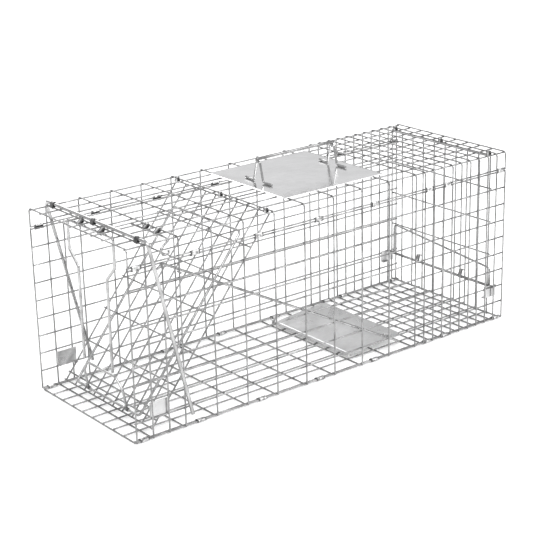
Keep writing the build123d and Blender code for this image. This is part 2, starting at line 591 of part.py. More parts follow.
def build():
    """Every node's name and its solids."""
    nodes = {
        "top_mesh_panel": top_mesh(),
        "floor_mesh_panel": floor_mesh(),
        "top_seam_clips": top_seam_clips(),
        "floor_seam_clips": floor_seam_clips(),
        "front_door_mesh": front_door(),
        "front_door_frame": door_frame_wire(),
        "front_door_hinge_clips": hinge_clips(HINGE_X),
        "outer_bail": outer_bail(),
        "outer_bail_clips": bail_clips(),
        "lock_arm_frame": lock_arms(),
        "lock_arm_clips": arm_clips(),
        "front_lock_bail": front_lock_bail(),
        "treadle_plate": treadle(),
        "treadle_pivot_rod": treadle_rod(),
        "trigger_rod": trigger_rod(),
        "trigger_rod_rest": rod_rest(),
        "trigger_latch": trigger_latch(),
        "trigger_latch_clips": latch_clips(),
        "rear_door_mesh": rear_door(),
        "rear_door_hinge_clips": hinge_clips(REAR_HINGE_X),
        "rear_lock_bail": rear_lock(),
        "rear_lock_clips": rear_lock_clips(),
        "guard_plate": guard_plate(),
        "handle_support_front": handle_support(HANDLE_FRONT_X),
        "handle_support_rear": handle_support(HANDLE_REAR_X),
        "handle_grip_bar": grip_bar(),
    }
    for name, side in (("near", -1), ("far", 1)):
        nodes[f"side_mesh_panel_{name}"] = side_mesh(side)
        nodes[f"front_catch_plate_{name}"] = front_catch_plate(side)
        nodes[f"rear_catch_plate_{name}"] = rear_catch_plate(side)
        nodes[f"treadle_tab_{name}"] = treadle_tab(side)
    return nodes


os.makedirs("parts", exist_ok=True)
for node, shape in build().items():
    if isinstance(shape, list):
        shape = Compound(children=[piece for item in shape for piece in item.solids()])
    export_step(shape, f"parts/{node}.step")
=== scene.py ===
"""The look of the live catch trap: round drawn wires, welds, folded clips and galvanised sheet.

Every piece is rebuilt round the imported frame, in metres. Sizes are given in millimetres through MM.
"""
import json
import math
import random

import bpy
import bmesh
from mathutils import Matrix, Vector


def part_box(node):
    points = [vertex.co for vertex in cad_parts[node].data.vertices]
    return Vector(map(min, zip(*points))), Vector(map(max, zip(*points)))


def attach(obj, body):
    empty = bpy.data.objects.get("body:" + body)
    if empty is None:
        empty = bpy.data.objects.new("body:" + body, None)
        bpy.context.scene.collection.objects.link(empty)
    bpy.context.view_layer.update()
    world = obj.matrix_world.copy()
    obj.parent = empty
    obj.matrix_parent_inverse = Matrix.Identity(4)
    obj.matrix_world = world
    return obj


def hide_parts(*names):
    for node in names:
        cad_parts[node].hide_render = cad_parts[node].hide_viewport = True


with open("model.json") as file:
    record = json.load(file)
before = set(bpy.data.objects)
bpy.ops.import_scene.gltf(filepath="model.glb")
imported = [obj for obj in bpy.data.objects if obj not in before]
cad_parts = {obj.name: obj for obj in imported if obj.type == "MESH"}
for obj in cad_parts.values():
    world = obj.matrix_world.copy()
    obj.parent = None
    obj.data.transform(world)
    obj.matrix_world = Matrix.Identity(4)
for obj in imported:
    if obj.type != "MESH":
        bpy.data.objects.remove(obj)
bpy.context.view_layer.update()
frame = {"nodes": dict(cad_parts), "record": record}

MM = 0.001
random.seed(7)

# Mesh and clip sheet
PITCH = 25.4 * MM
COARSE = 2 * PITCH
COARSE_SPACES = 8
DENSE = 18.0 * MM
DENSE_SPACES = 10
ROWS = 9
WIRE = 2.2 * MM
LAYER = 0.8 * WIRE
SHEET = 0.8 * MM
MESH_WELD = 0.62 * WIRE       # half the length of a weld's bead on the mesh
GAP = 0.5 * MM                # room kept beside a seam clip, and above the rear lock at its highest
SIDES = 14                    # faces round a wire

# Drop door, measured from the cage's door end where it says X
DOOR_FOOT_X = 30 * MM
DOOR_FOOT_Z = 10 * MM
DOOR_END_SPACE = 12 * MM      # from the free end up to the next cross wire
DOOR_CROSS_WIRES = 6          # the evenly spaced ones
DOOR_BAR_WIRE = 3.5 * MM
DOOR_BAR_HALF = 76 * MM
DOOR_BAR_DROP = 36 * MM       # from the hinge down to the long frame's upper bar
DOOR_BAR_BEND = 6 * MM
DOOR_BAR_JOINT = 0.6 * MM     # between the frame wire's ends

# Outer bail, lock arms and front lock bail
BAIL_WIRE = 5.0 * MM
BAIL_LEG_FOOT = 19 * MM
BAIL_LEAN = math.radians(13)
BAIL_BEND = 8 * MM
ARM_WIRE = 4.0 * MM
ARM_HALF = 54 * MM
ARM_FOOT_HALF = 34 * MM
ARM_JOG_DROP = 40 * MM
ARM_JOG_HEIGHT = 20 * MM
LOCK_WIRE = 3.5 * MM
LOCK_TOP_X = 24.5 * MM
LOCK_TOP_Z = 60 * MM
LOCK_KNEE_X = 27 * MM
LOCK_KNEE_Z = 44 * MM
LOCK_BEND = 5 * MM

# Trigger rod and latch
ROD_WIRE = 3.5 * MM
ROD_TOP_X = 55 * MM
ROD_TOP_DROP = 32 * MM        # from the top mesh down to its upper bend
ROD_TIP_REACH = 8.5 * MM
ROD_TIP_DROP = 6 * MM
ROD_BEND = 4 * MM
LATCH_WIRE = 3.0 * MM
LATCH_KNEE_X = 57 * MM
LATCH_KNEE_DROP = 10.4 * MM
LATCH_NOSE_X = 60 * MM
LATCH_TIP_X = 69 * MM
LATCH_TIP_RISE = 5 * MM
LATCH_BENDS = [2 * MM, 3 * MM, 2 * MM, 2 * MM]

# Rear door and its lock
REAR_DOOR_FOOT = 10 * MM
REAR_CROSS_WIRES = 5
REAR_LOCK_WIRE = 3.2 * MM
REAR_LOCK_HALF = 104 * MM
REAR_LOCK_RISE_FAR = 48 * MM
REAR_LOCK_RISE_NEAR = 28 * MM
REAR_LOCK_BEND = 6 * MM

# Guard plate and handle
GUARD_CORNER = 4 * MM
GUARD_WAVE = 0.16 * MM
GUARD_COLUMNS, GUARD_LINES = 72, 68
HANDLE_WIRE = 3.2 * MM
GRIP_WIRE = 4.5 * MM
HANDLE_FOOT_HALF = 10 * MM
HANDLE_WELD_HALF = 24 * MM    # from the middle to the welds on the supports' toes

TOP_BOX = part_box("top_mesh_panel")
FLOOR_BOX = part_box("floor_mesh_panel")
SIDE_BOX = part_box("side_mesh_panel_far")
FRONT = TOP_BOX[0].x + WIRE / 2
REAR = TOP_BOX[1].x - WIRE / 2
TOP_CROSS_Z = TOP_BOX[1].z - WIRE / 2
OUTER = TOP_BOX[1].y - WIRE / 2
HALF = OUTER - LAYER
LIP_Z = TOP_BOX[0].z + WIRE / 2
TOP_LONG_Z = TOP_CROSS_Z - LAYER
FLOOR_CROSS_Z = WIRE / 2
FLOOR_LONG_Z = FLOOR_CROSS_Z + LAYER
SIDE_TOP_Z = SIDE_BOX[1].z - WIRE / 2
CORNER_BEND = 5.0 * MM
TOP_HALF = HALF - CORNER_BEND / 2
FLOOR_HALF = FLOOR_BOX[1].y - WIRE / 2

COARSE_STATIONS = [3 * PITCH + n * COARSE for n in range(COARSE_SPACES + 1)]
DENSE_STATIONS = [COARSE_STATIONS[-1] + n * DENSE for n in range(1, DENSE_SPACES + 1)]
TOP_STATIONS = [0, PITCH] + COARSE_STATIONS + DENSE_STATIONS
SIDE_STATIONS = [0, PITCH, 2 * PITCH] + COARSE_STATIONS + DENSE_STATIONS

JOINTS = {joint["name"]: joint for joint in frame["record"]["behaviour"]["joints"]}


def pivot(name):
    """Where a joint's axis is, in the row frame."""
    return Vector(JOINTS[name]["pos_m"])


# Materials ------------------------------------------------------------------------------------------------

class Nodes:
    """A short way to lay out one material's nodes."""

    def __init__(self, name):
        self.material = bpy.data.materials.new(name)
        self.material.use_nodes = True
        self.tree = self.material.node_tree
        self.shader = self.tree.nodes["Principled BSDF"]
        self.coords = self.add("ShaderNodeTexCoord").outputs["Object"]

    def add(self, kind, **settings):
        node = self.tree.nodes.new(kind)
        for key, value in settings.items():
            setattr(node, key, value)
        return node

    def link(self, source, target):
        self.tree.links.new(source, target)

    def noise(self, scale, detail=4.0, roughness=0.55, stretch=(1, 1, 1)):
        """Noise over the object's own space, in features per metre."""
        mapping = self.add("ShaderNodeMapping")
        mapping.inputs["Scale"].default_value = stretch
        self.link(self.coords, mapping.inputs["Vector"])
        noise = self.add("ShaderNodeTexNoise")
        noise.inputs["Scale"].default_value = scale
        noise.inputs["Detail"].default_value = detail
        noise.inputs["Roughness"].default_value = roughness
        self.link(mapping.outputs["Vector"], noise.inputs["Vector"])
        return noise.outputs["Fac"]

    def cells(self, scale):
        """Random grey patches with straight edges, like zinc spangle."""
        cells = self.add("ShaderNodeTexVoronoi")
        cells.inputs["Scale"].default_value = scale
        self.link(self.coords, cells.inputs["Vector"])
        grey = self.add("ShaderNodeRGBToBW")
        self.link(cells.outputs["Color"], grey.inputs["Color"])
        return grey.outputs["Val"]

    def ramp(self, source, stops):
        """A colour ramp; each stop is (position, grey or colour)."""
        ramp = self.add("ShaderNodeValToRGB")
        elements = ramp.color_ramp.elements
        while len(elements) < len(stops):
            elements.new(0.5)
        for element, (position, colour) in zip(elements, stops):
            rgb = (colour,) * 3 if isinstance(colour, (int, float)) else colour
            element.position = position
            element.color = (*rgb, 1)
        self.link(source, ramp.inputs["Fac"])
        return ramp.outputs["Color"]

    def mix(self, factor, first, second, blend="MIX"):
        """Two colours mixed by a number or a socket."""
        mix = self.add("ShaderNodeMix", data_type="RGBA", blend_type=blend)
        if isinstance(factor, (int, float)):
            mix.inputs["Factor"].default_value = factor
        else:
            self.link(factor, mix.inputs["Factor"])
        self.link(first, mix.inputs[6])
        self.link(second, mix.inputs[7])
        return mix.outputs[2]

    def bump(self, height, strength, distance):
        bump = self.add("ShaderNodeBump")
        bump.inputs["Strength"].default_value = strength
        bump.inputs["Distance"].default_value = distance
        self.link(height, bump.inputs["Height"])
        self.link(bump.outputs["Normal"], self.shader.inputs["Normal"])

    def metal(self, colour, roughness, metallic=1.0):
        self.shader.inputs["Metallic"].default_value = metallic
        self.link(colour, self.shader.inputs["Base Color"])
        self.link(roughness, self.shader.inputs["Roughness"])


def zinc_wire(name, dark, light, smooth, rough):
    """Drawn, zinc-plated wire: cloudy plating, fine draw lines and small dull specks."""
    nodes = Nodes(name)
    cloud = nodes.noise(55, 5)
    specks = nodes.noise(900, 3)
    lines = nodes.noise(2600, 2, 0.6)
    base = nodes.ramp(cloud, [(0.30, dark), (0.50, (dark + light) / 2), (0.72, light)])
    dirt = nodes.ramp(specks, [(0.30, 0.55), (0.42, 1.0), (1.0, 1.0)])
    colour = nodes.mix(1.0, base, dirt, "MULTIPLY")
    roughness = nodes.ramp(cloud, [(0.3, rough), (0.7, smooth)])
    nodes.metal(colour, roughness)
    nodes.bump(lines, 0.25, 0.00008)
    return nodes.material


def weld_painted_shade_metal():
    """A resistance weld, dull and dark grey: its darkness is painted shade where the wires cross."""
    nodes = Nodes("weld_spot_painted_shade")
    cloud = nodes.noise(700, 4)
    # dark greys: painted shade at each crossing
    stops = [(0.25, (0.10, 0.10, 0.10)), (0.5, (0.25, 0.25, 0.255)), (0.8, (0.44, 0.44, 0.45))]
    colour = nodes.ramp(cloud, stops)
    roughness = nodes.ramp(cloud, [(0.2, 0.62), (0.8, 0.38)])
    nodes.metal(colour, roughness)
    nodes.bump(nodes.noise(2400, 3), 0.5, 0.0002)
    return nodes.material


def galvanised(name, dark, light, smooth, rough, spangle):
    """Galvanised sheet: spangle patches, cloudy gloss, a faint rolling grain and slight waves."""
    nodes = Nodes(name)
    patches = nodes.cells(spangle)
    cloud = nodes.noise(14, 6, 0.6)
    grain = nodes.noise(60, 6, 0.7, (1, 14, 14))
    base = nodes.ramp(cloud, [(0.28, dark), (0.72, light)])
    tint = nodes.ramp(patches, [(0.0, 0.93), (1.0, 1.0)])
    streaks = nodes.ramp(grain, [(0.35, 0.92), (0.62, 1.0)])
    colour = nodes.mix(1.0, nodes.mix(1.0, base, tint, "MULTIPLY"), streaks, "MULTIPLY")
    roughness = nodes.ramp(nodes.noise(32, 5), [(0.3, smooth), (0.72, rough)])
    nodes.metal(colour, roughness)
    nodes.bump(nodes.noise(22, 3), 0.35, 0.0012)
    return nodes.material


def clip_steel():
    """Bright folded strip with dark, rubbed patches."""
    nodes = Nodes("clip_steel")
    cloud = nodes.noise(240, 4)
    scratch = nodes.noise(1500, 4, 0.6, (1, 1, 6))
    base = nodes.ramp(cloud, [(0.36, 0.14), (0.48, 0.45), (0.66, 0.80)])
    marks = nodes.ramp(scratch, [(0.3, 0.7), (0.55, 1.0)])
    roughness = nodes.ramp(cloud, [(0.3, 0.42), (0.7, 0.24)])
    nodes.metal(nodes.mix(1.0, base, marks, "MULTIPLY"), roughness)
    nodes.bump(scratch, 0.3, 0.0001)
    return nodes.material


def clip_painted_shadow():
    """Painted shadow on the clips' ends, the bands at the ends of their outer faces and their insides:
    dark, rough steel.
    """
    nodes = Nodes("clip_painted_shadow")
    cloud = nodes.noise(900, 4)
    colour = nodes.ramp(cloud, [(0.3, 0.05), (0.7, 0.20)])
    nodes.metal(colour, nodes.ramp(cloud, [(0.3, 0.45), (0.7, 0.65)]))
    nodes.bump(nodes.noise(2600, 3), 0.3, 0.0001)
    return nodes.material


MESH_ZINC = zinc_wire("mesh_zinc", 0.18, 0.39, 0.22, 0.38)
BENT_ZINC = zinc_wire("bent_zinc", 0.28, 0.52, 0.18, 0.34)
HEAVY_ZINC = zinc_wire("heavy_zinc", 0.30, 0.56, 0.15, 0.30)
# the welds' material paints shade at the wire crossings
WELD_PAINTED_SHADE = weld_painted_shade_metal()
CLIP = clip_steel()
# painted shadow for the clips' ends and insides
CLIP_PAINTED_SHADOW = clip_painted_shadow()
RING = zinc_wire("ring_steel", 0.10, 0.38, 0.20, 0.40)
GRIP_ZINC = zinc_wire("grip_zinc", 0.18, 0.40, 0.20, 0.36)
GUARD = galvanised("guard_sheet", 0.80, 0.93, 0.10, 0.24, 70)
TREADLE = galvanised("treadle_sheet", 0.56, 0.74, 0.24, 0.42, 110)
PLATE = galvanised("plate_sheet", 0.48, 0.66, 0.20, 0.38, 160)


# Mesh making ----------------------------------------------------------------------------------------------

class Shape:
    """A growing mesh with one or more materials."""

    def __init__(self, name, materials):
        self.name = name
        self.bm = bmesh.new()
        self.materials = materials

    def finish(self, body, slot, *nodes):
        """Makes the object, puts it on its body and hides the CAD nodes that it stands for."""
        mesh = bpy.data.meshes.new(self.name)
        bmesh.ops.recalc_face_normals(self.bm, faces=self.bm.faces)
        self.bm.to_mesh(mesh)
        self.bm.free()
        for material in self.materials:
            mesh.materials.append(material)
        piece = bpy.data.objects.new(self.name, mesh)
        bpy.context.scene.collection.objects.link(piece)
        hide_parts(*nodes)
        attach(piece, body)
        return piece


def corner_arc(before, corner, after, radius, steps):
    """Points along an arc that rounds a corner of a wire's path."""
    a, b = (before - corner).normalized(), (after - corner).normalized()
    turn = math.pi - a.angle(b)
    cut = radius * math.tan(turn / 2)
    start, end = corner + a * cut, corner + b * cut
    centre = corner + (a + b).normalized() * (radius / math.cos(turn / 2))
    spin = (start - centre).cross(end - centre)
    turns = [Matrix.Rotation(turn * n / steps, 3, spin) for n in range(steps + 1)]
    return [centre + rotation @ (start - centre) for rotation in turns]


def bent_path(points, bends, steps=7):
    """A path of straight runs with rounded corners. bends is one radius or one for each corner."""
    points = [Vector(p) for p in points]
    if isinstance(bends, (int, float)):
        bends = [bends] * (len(points) - 2)
    path = [points[0]]
    for n, radius in enumerate(bends, 1):
        path += corner_arc(points[n - 1], points[n], points[n + 1], radius, steps)
    return path + [points[-1]]


def tube(shape, path, diameter, material=0, sides=SIDES, burr=0.35 * MM):
    """A round wire along a path, with slightly rounded cut ends."""
    path = [Vector(p) for p in path]
    radius = diameter / 2
    ends = []
    for end, nearby in ((path[0], path[1]), (path[-1], path[-2])):
        inward = (nearby - end).normalized()
        ends.append((end + inward * burr, end))
    stations = [(ends[0][1], radius - burr), (ends[0][0], radius)]
    stations += [(point, radius) for point in path[1:-1]]
    stations += [(ends[1][0], radius), (ends[1][1], radius - burr)]
    direction = (path[1] - path[0]).normalized()
    side = direction.orthogonal().normalized()
    rings = []
    for n, (point, ring_radius) in enumerate(stations):
        before = stations[max(n - 1, 0)][0]
        after = stations[min(n + 1, len(stations) - 1)][0]
        heading = (after - before).normalized()
        side = (side - heading * side.dot(heading)).normalized()
        up = heading.cross(side)
        ring = []
        for k in range(sides):
            angle = 2 * math.pi * k / sides
            offset = side * math.cos(angle) + up * math.sin(angle)
            ring.append(shape.bm.verts.new(point + offset * ring_radius))
        rings.append(ring)
    for first, second in zip(rings, rings[1:]):
        for k in range(sides):
            m = (k + 1) % sides
            face = shape.bm.faces.new((first[k], first[m], second[m], second[k]))
            face.smooth = True
            face.material_index = material
    for ring in (rings[0], rings[-1]):
        cap = shape.bm.faces.new(ring)
        cap.material_index = material


def nugget(shape, place, along, across, size, material=1):
    """A flattened weld blob where two wires cross: squeezed out beside the upper wire."""
    rings, around = 4, 8
    along, across = along.normalized(), across.normalized()
    up = along.cross(across)
    long, wide = size * random.uniform(0.92, 1.15), size * random.uniform(0.92, 1.15)
    thick = size * random.uniform(0.50, 0.62)
    grid = []
    for i in range(1, rings):
        polar = math.pi * i / rings
        ring = []
        for k in range(around):
            turn = 2 * math.pi * k / around
            offset = along * math.sin(polar) * math.cos(turn) * long
            offset += across * math.sin(polar) * math.sin(turn) * wide
            offset += up * math.cos(polar) * thick
            ring.append(shape.bm.verts.new(place + offset))
        grid.append(ring)
    poles = [shape.bm.verts.new(place + up * thick), shape.bm.verts.new(place - up * thick)]
    faces = []
    for first, second in zip(grid, grid[1:]):
        for k in range(around):
            m = (k + 1) % around
            faces.append((first[k], first[m], second[m], second[k]))
    for k in range(around):
        faces.append((grid[0][k], grid[0][(k + 1) % around], poles[0]))
        faces.append((grid[-1][k], grid[-1][(k + 1) % around], poles[1]))
    for corners in faces:
        face = shape.bm.faces.new(corners)
        face.smooth = True
        face.material_index = material


def wander(amount=0.12 * MM):
    """A small, seeded departure from the exact place, as in real welded mesh."""
    return random.uniform(-amount, amount)


def mesh_wire(shape, start, end, sag_axis, spans=6, diameter=WIRE):
    """A straight mesh wire that wanders a little along its length."""
    start, end, sag_axis = Vector(start), Vector(end), Vector(sag_axis)
    path = [start.lerp(end, n / spans) for n in range(spans + 1)]
    path[1:-1] = [point + sag_axis * wander() for point in path[1:-1]]
    tube(shape, path, diameter, sides=12)


X, Y, Z = Vector((1, 0, 0)), Vector((0, 1, 0)), Vector((0, 0, 1))


# Cage -----------------------------------------------------------------------------------------------------

def top_panel():
    """Long wires under cross wires that are bent down over both edges into the lips."""
    shape = Shape("top_mesh", [MESH_ZINC, WELD_PAINTED_SHADE])
    start, end = FRONT - WIRE / 2, REAR + WIRE / 2
    rows = [-TOP_HALF + n * 2 * TOP_HALF / ROWS for n in range(ROWS + 1)]
    for y in rows:
        mesh_wire(shape, (start, y, TOP_LONG_Z), (end, y, TOP_LONG_Z), Y, 12)
    for side in (-1, 1):
        mesh_wire(shape, (start, side * HALF, LIP_Z), (end, side * HALF, LIP_Z), Z, 12)
    foot = LIP_Z - WIRE / 2
    for station in TOP_STATIONS:
        x = FRONT + station
        points = [(x, -OUTER, foot), (x, -OUTER, TOP_CROSS_Z), (x, OUTER, TOP_CROSS_Z), (x, OUTER, foot)]
        tube(shape, bent_path(points, CORNER_BEND), WIRE)
        for y in rows:
            nugget(shape, Vector((x, y, TOP_CROSS_Z - LAYER / 2)), X, Y, MESH_WELD)
        for side in (-1, 1):
            nugget(shape, Vector((x, side * (HALF + LAYER / 2), LIP_Z)), X, Z, MESH_WELD)
    shape.finish("cage", "zinc_mesh", "top_mesh_panel")


def floor_panel():
    """Long wires on cross wires, flat on the ground."""
    shape = Shape("floor_mesh", [MESH_ZINC, WELD_PAINTED_SHADE])
    start, end = FRONT - WIRE / 2, REAR + WIRE / 2
    reach = FLOOR_HALF + WIRE / 2
    rows = [-FLOOR_HALF + n * 2 * FLOOR_HALF / ROWS for n in range(ROWS + 1)]
    for y in rows:
        mesh_wire(shape, (start, y, FLOOR_LONG_Z), (end, y, FLOOR_LONG_Z), Y, 12)
    for station in TOP_STATIONS:
        x = FRONT + station
        mesh_wire(shape, (x, -reach, FLOOR_CROSS_Z), (x, reach, FLOOR_CROSS_Z), X)
        for y in rows:
            nugget(shape, Vector((x, y, FLOOR_CROSS_Z + LAYER / 2)), X, Y, MESH_WELD)
    shape.finish("cage", "zinc_mesh", "floor_mesh_panel")


def side_panel(side, name):
    """Rows of long wires inside upright wires."""
    shape = Shape(f"side_mesh_{name}", [MESH_ZINC, WELD_PAINTED_SHADE])
    start, end = FRONT - WIRE / 2, REAR + WIRE / 2
    rows = [FLOOR_LONG_Z + n * PITCH for n in range(ROWS + 1)]
    for z in rows:
        mesh_wire(shape, (start, side * HALF, z), (end, side * HALF, z), Z, 12)
    low, high = FLOOR_LONG_Z - WIRE / 2, SIDE_TOP_Z + WIRE / 2
    for station in SIDE_STATIONS:
        x = FRONT + station
        mesh_wire(shape, (x, side * OUTER, low), (x, side * OUTER, high), X)
        for z in rows:
            nugget(shape, Vector((x, side * (HALF + LAYER / 2), z)), X, Z, MESH_WELD)
    shape.finish("cage", "zinc_mesh", f"side_mesh_panel_{name}")


top_panel()
floor_panel()
side_panel(-1, "near")
side_panel(1, "far")


# Clips ----------------------------------------------------------------------------------------------------

CLIP_CLEAR = 0.05 * MM
RUNNING_CLEAR = 0.10 * MM
SEAM_CLIP = 14.0 * MM
PIVOT_CLIP = 7.0 * MM
CLIP_STEPS = 40               # faces round a clip
CLIP_OPENING = 0.10           # half of the seam where a strip's ends meet, in radians
CLIP_EDGE = 0.22 * MM         # how far a strip's outer edges are rounded off
CLIP_INSIDE = 0.12 * MM       # and its inner edges
CLIP_SHADOW_BAND = 1.7 * MM           # width of the band of painted shadow at each end of a clip's outer face
SEAM_GAP = LIP_Z - SIDE_TOP_Z


def folded_clip(shape, origin, u_axis, v_axis, circles, length, clearance, split):
    """A strip folded round parallel wires. circles are (u, v, radius); split is the seam's angle."""
    run = u_axis.cross(v_axis).normalized()
    half = length / 2
    profile = [(-half, CLIP_INSIDE), (-half, SHEET - CLIP_EDGE), (-half + CLIP_SHADOW_BAND, SHEET),
               (half - CLIP_SHADOW_BAND, SHEET), (half, SHEET - CLIP_EDGE), (half, CLIP_INSIDE),
               (half - CLIP_EDGE / 2, 0), (-half + CLIP_EDGE / 2, 0)]
    outer_band = 2
    rings = []
    for n in range(CLIP_STEPS + 1):
        angle = split + CLIP_OPENING + 2 * (math.pi - CLIP_OPENING) * n / CLIP_STEPS
        heading = (math.cos(angle), math.sin(angle))
        u, v, radius = max(circles, key=lambda c: c[0] * heading[0] + c[1] * heading[1] + c[2])
        ring = []
        for along, out in profile:
            reach = radius + clearance + out
            place = origin + u_axis * (u + heading[0] * reach) + v_axis * (v + heading[1] * reach)
            ring.append(shape.bm.verts.new(place + run * along))
        rings.append(ring)
    count = len(profile)
    for first, second in zip(rings, rings[1:]):
        for k in range(count):
            m = (k + 1) % count
            face = shape.bm.faces.new((first[k], first[m], second[m], second[k]))
            face.smooth = True
            # only the outer band is bright clip steel; the end bands, the cut ends and the inside get
            # painted shadow
            face.material_index = 0 if k == outer_band else 1
    # the end caps get painted shadow too
    for ring in (rings[0], rings[-1]):
        shape.bm.faces.new(ring).material_index = 1


def clear_of_wires(station):
    """The nearest station to the one asked for where a seam clip misses the cross wires."""
    room = (SEAM_CLIP + WIRE) / 2 + GAP
    lines = sorted(set(TOP_STATIONS + SIDE_STATIONS))
    middles = [(a + b) / 2 for a, b in zip(lines, lines[1:]) if (b - a) / 2 >= room]
    return min(middles, key=lambda middle: abs(middle - station))


def seam_clips():
    """The clips along the top and floor seams."""
    wanted = [10 * MM] + [s + PITCH for s in COARSE_STATIONS[0::2]]
    wanted += [DENSE_STATIONS[3], DENSE_STATIONS[8]]
    stations = [clear_of_wires(station) for station in wanted]
    top = Shape("top_seam_clip_set", [CLIP, CLIP_PAINTED_SHADOW])
    floor = Shape("floor_seam_clip_set", [CLIP, CLIP_PAINTED_SHADOW])
    for side in (-1, 1):
        for station in stations:
            x = FRONT + station + wander(0.2 * MM)
            pair = [(0, 0, WIRE / 2), (0, SEAM_GAP, WIRE / 2)]
            place = Vector((x, side * HALF, SIDE_TOP_Z))
            inwards = math.pi if side > 0 else 2 * math.pi
            folded_clip(top, place, Y, Z, pair, SEAM_CLIP, CLIP_CLEAR, inwards)
            pair = [(0, 0, WIRE / 2), (-side * SEAM_GAP, 0, WIRE / 2)]
            place = Vector((x, side * HALF, FLOOR_LONG_Z))
            folded_clip(floor, place, Y, Z, pair, SEAM_CLIP, CLIP_CLEAR, -math.pi / 2)
    top.finish("cage", "clip_steel", "top_seam_clips")
    floor.finish("cage", "clip_steel", "floor_seam_clips")


def pivot_clips(name, body, node, origin, circles, rows, split=-math.pi / 2, steel=CLIP):
    """Clips round wires that run across the cage, one at each of the rows."""
    shape = Shape(name, [steel, CLIP_PAINTED_SHADOW])
    for y in rows:
        folded_clip(shape, origin + Y * y, X, Z, circles, PIVOT_CLIP, RUNNING_CLEAR, split)
    shape.finish(body, "clip_steel", node)


TOP_SPACING = 2 * TOP_HALF / ROWS
FRONT_HINGE = pivot("front_door_hinge")
REAR_HINGE = pivot("rear_door_hinge")
BAIL_PIVOT = pivot("outer_bail_pivot")
ARM_PIVOT = pivot("lock_arm_hinge")
LOCK_PIVOT = pivot("front_lock_pivot")
DOOR_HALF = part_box("rear_door_mesh")[1].y
DOOR_SPACING = 2 * (DOOR_HALF - WIRE) / ROWS


def cage_clips():
    """The clips that the doors, the bail and the lock arms turn in."""
    hinge_pair = [(0, 0, WIRE / 2), (0, TOP_CROSS_Z - FRONT_HINGE.z, WIRE / 2)]
    rows = [row * TOP_SPACING for row in (-4, 0, 4)]
    pivot_clips("front_hinge_clip_set", "cage", "front_door_hinge_clips", FRONT_HINGE, hinge_pair, rows)
    pivot_clips("rear_hinge_clip_set", "cage", "rear_door_hinge_clips", REAR_HINGE, hinge_pair, rows)
    wire_x = FRONT + PITCH
    bail_pair = [(0, 0, BAIL_WIRE / 2), (wire_x - BAIL_PIVOT.x, TOP_CROSS_Z - BAIL_PIVOT.z, WIRE / 2)]
    pivot_clips("outer_bail_clip_set", "cage", "outer_bail_clips", BAIL_PIVOT, bail_pair, rows, steel=RING)
    arm_pair = [(0, 0, ARM_WIRE / 2), (wire_x - ARM_PIVOT.x, TOP_CROSS_Z - ARM_PIVOT.z, WIRE / 2)]
    rows = [-TOP_SPACING, TOP_SPACING]
    pivot_clips("lock_arm_clip_set", "cage", "lock_arm_clips", ARM_PIVOT, arm_pair, rows)


seam_clips()
cage_clips()


# Doors ----------------------------------------------------------------------------------------------------

def door_mesh(name, node, body, hinge, up, out, length, rows):
    """A door's mesh, hung from its hinge wire: long wires inside, cross wires outside."""
    shape = Shape(name, [MESH_ZINC, WELD_PAINTED_SHADE])
    for n in range(ROWS + 1):
        y = (n - ROWS / 2) * DOOR_SPACING
        top = hinge + Y * y - out * LAYER
        mesh_wire(shape, top, top - up * (length + WIRE / 2), Y, 8)
        for row in rows + [length]:
            nugget(shape, hinge + Y * y - out * LAYER / 2 - up * row, up, Y, MESH_WELD)
    for row in rows + [length]:
        place = hinge - up * row
        mesh_wire(shape, place - Y * DOOR_HALF, place + Y * DOOR_HALF, up if row else X * 0)
    shape.finish(body, "zinc_mesh", node)


DOOR_FOOT = Vector((FRONT + DOOR_FOOT_X, 0, DOOR_FOOT_Z))
DOOR_LENGTH = (FRONT_HINGE - DOOR_FOOT).length
DOOR_UP = (FRONT_HINGE - DOOR_FOOT).normalized()
DOOR_OUT = Y.cross(DOOR_UP) * -1
DOOR_BAR_W = (WIRE + DOOR_BAR_WIRE) / 2


def on_door(u, y, w):
    """The point u down the drop door's slope, at y, and w out from its mesh."""
    return FRONT_HINGE - DOOR_UP * u + DOOR_OUT * w + Y * y


def drop_door():
    """The drop door and the long wire frame welded on its outer face."""
    last = DOOR_LENGTH - DOOR_END_SPACE
    rows = [n * COARSE for n in range(DOOR_CROSS_WIRES)] + [last]
    door_mesh("drop_door_mesh", "front_door_mesh", "front_door", FRONT_HINGE, DOOR_UP, DOOR_OUT,
              DOOR_LENGTH, rows)
    foot = DOOR_LENGTH - DOOR_END_SPACE / 2
    outline = [(DOOR_BAR_DROP, DOOR_BAR_JOINT / 2), (DOOR_BAR_DROP, DOOR_BAR_HALF), (foot, DOOR_BAR_HALF)]
    points = [on_door(u, y, DOOR_BAR_W) for u, y in outline]
    points += [on_door(u, -y, DOOR_BAR_W) for u, y in reversed(outline)]
    shape = Shape("drop_door_frame", [BENT_ZINC, WELD_PAINTED_SHADE])
    tube(shape, bent_path(points, DOOR_BAR_BEND), DOOR_BAR_WIRE, sides=18)
    for side in (-1, 1):
        for row in rows[1:]:
            place = on_door(row, side * DOOR_BAR_HALF, WIRE / 2)
            nugget(shape, place, DOOR_UP, Y, DOOR_BAR_WIRE * 0.5)
    shape.finish("front_door", "zinc_wire", "front_door_frame")


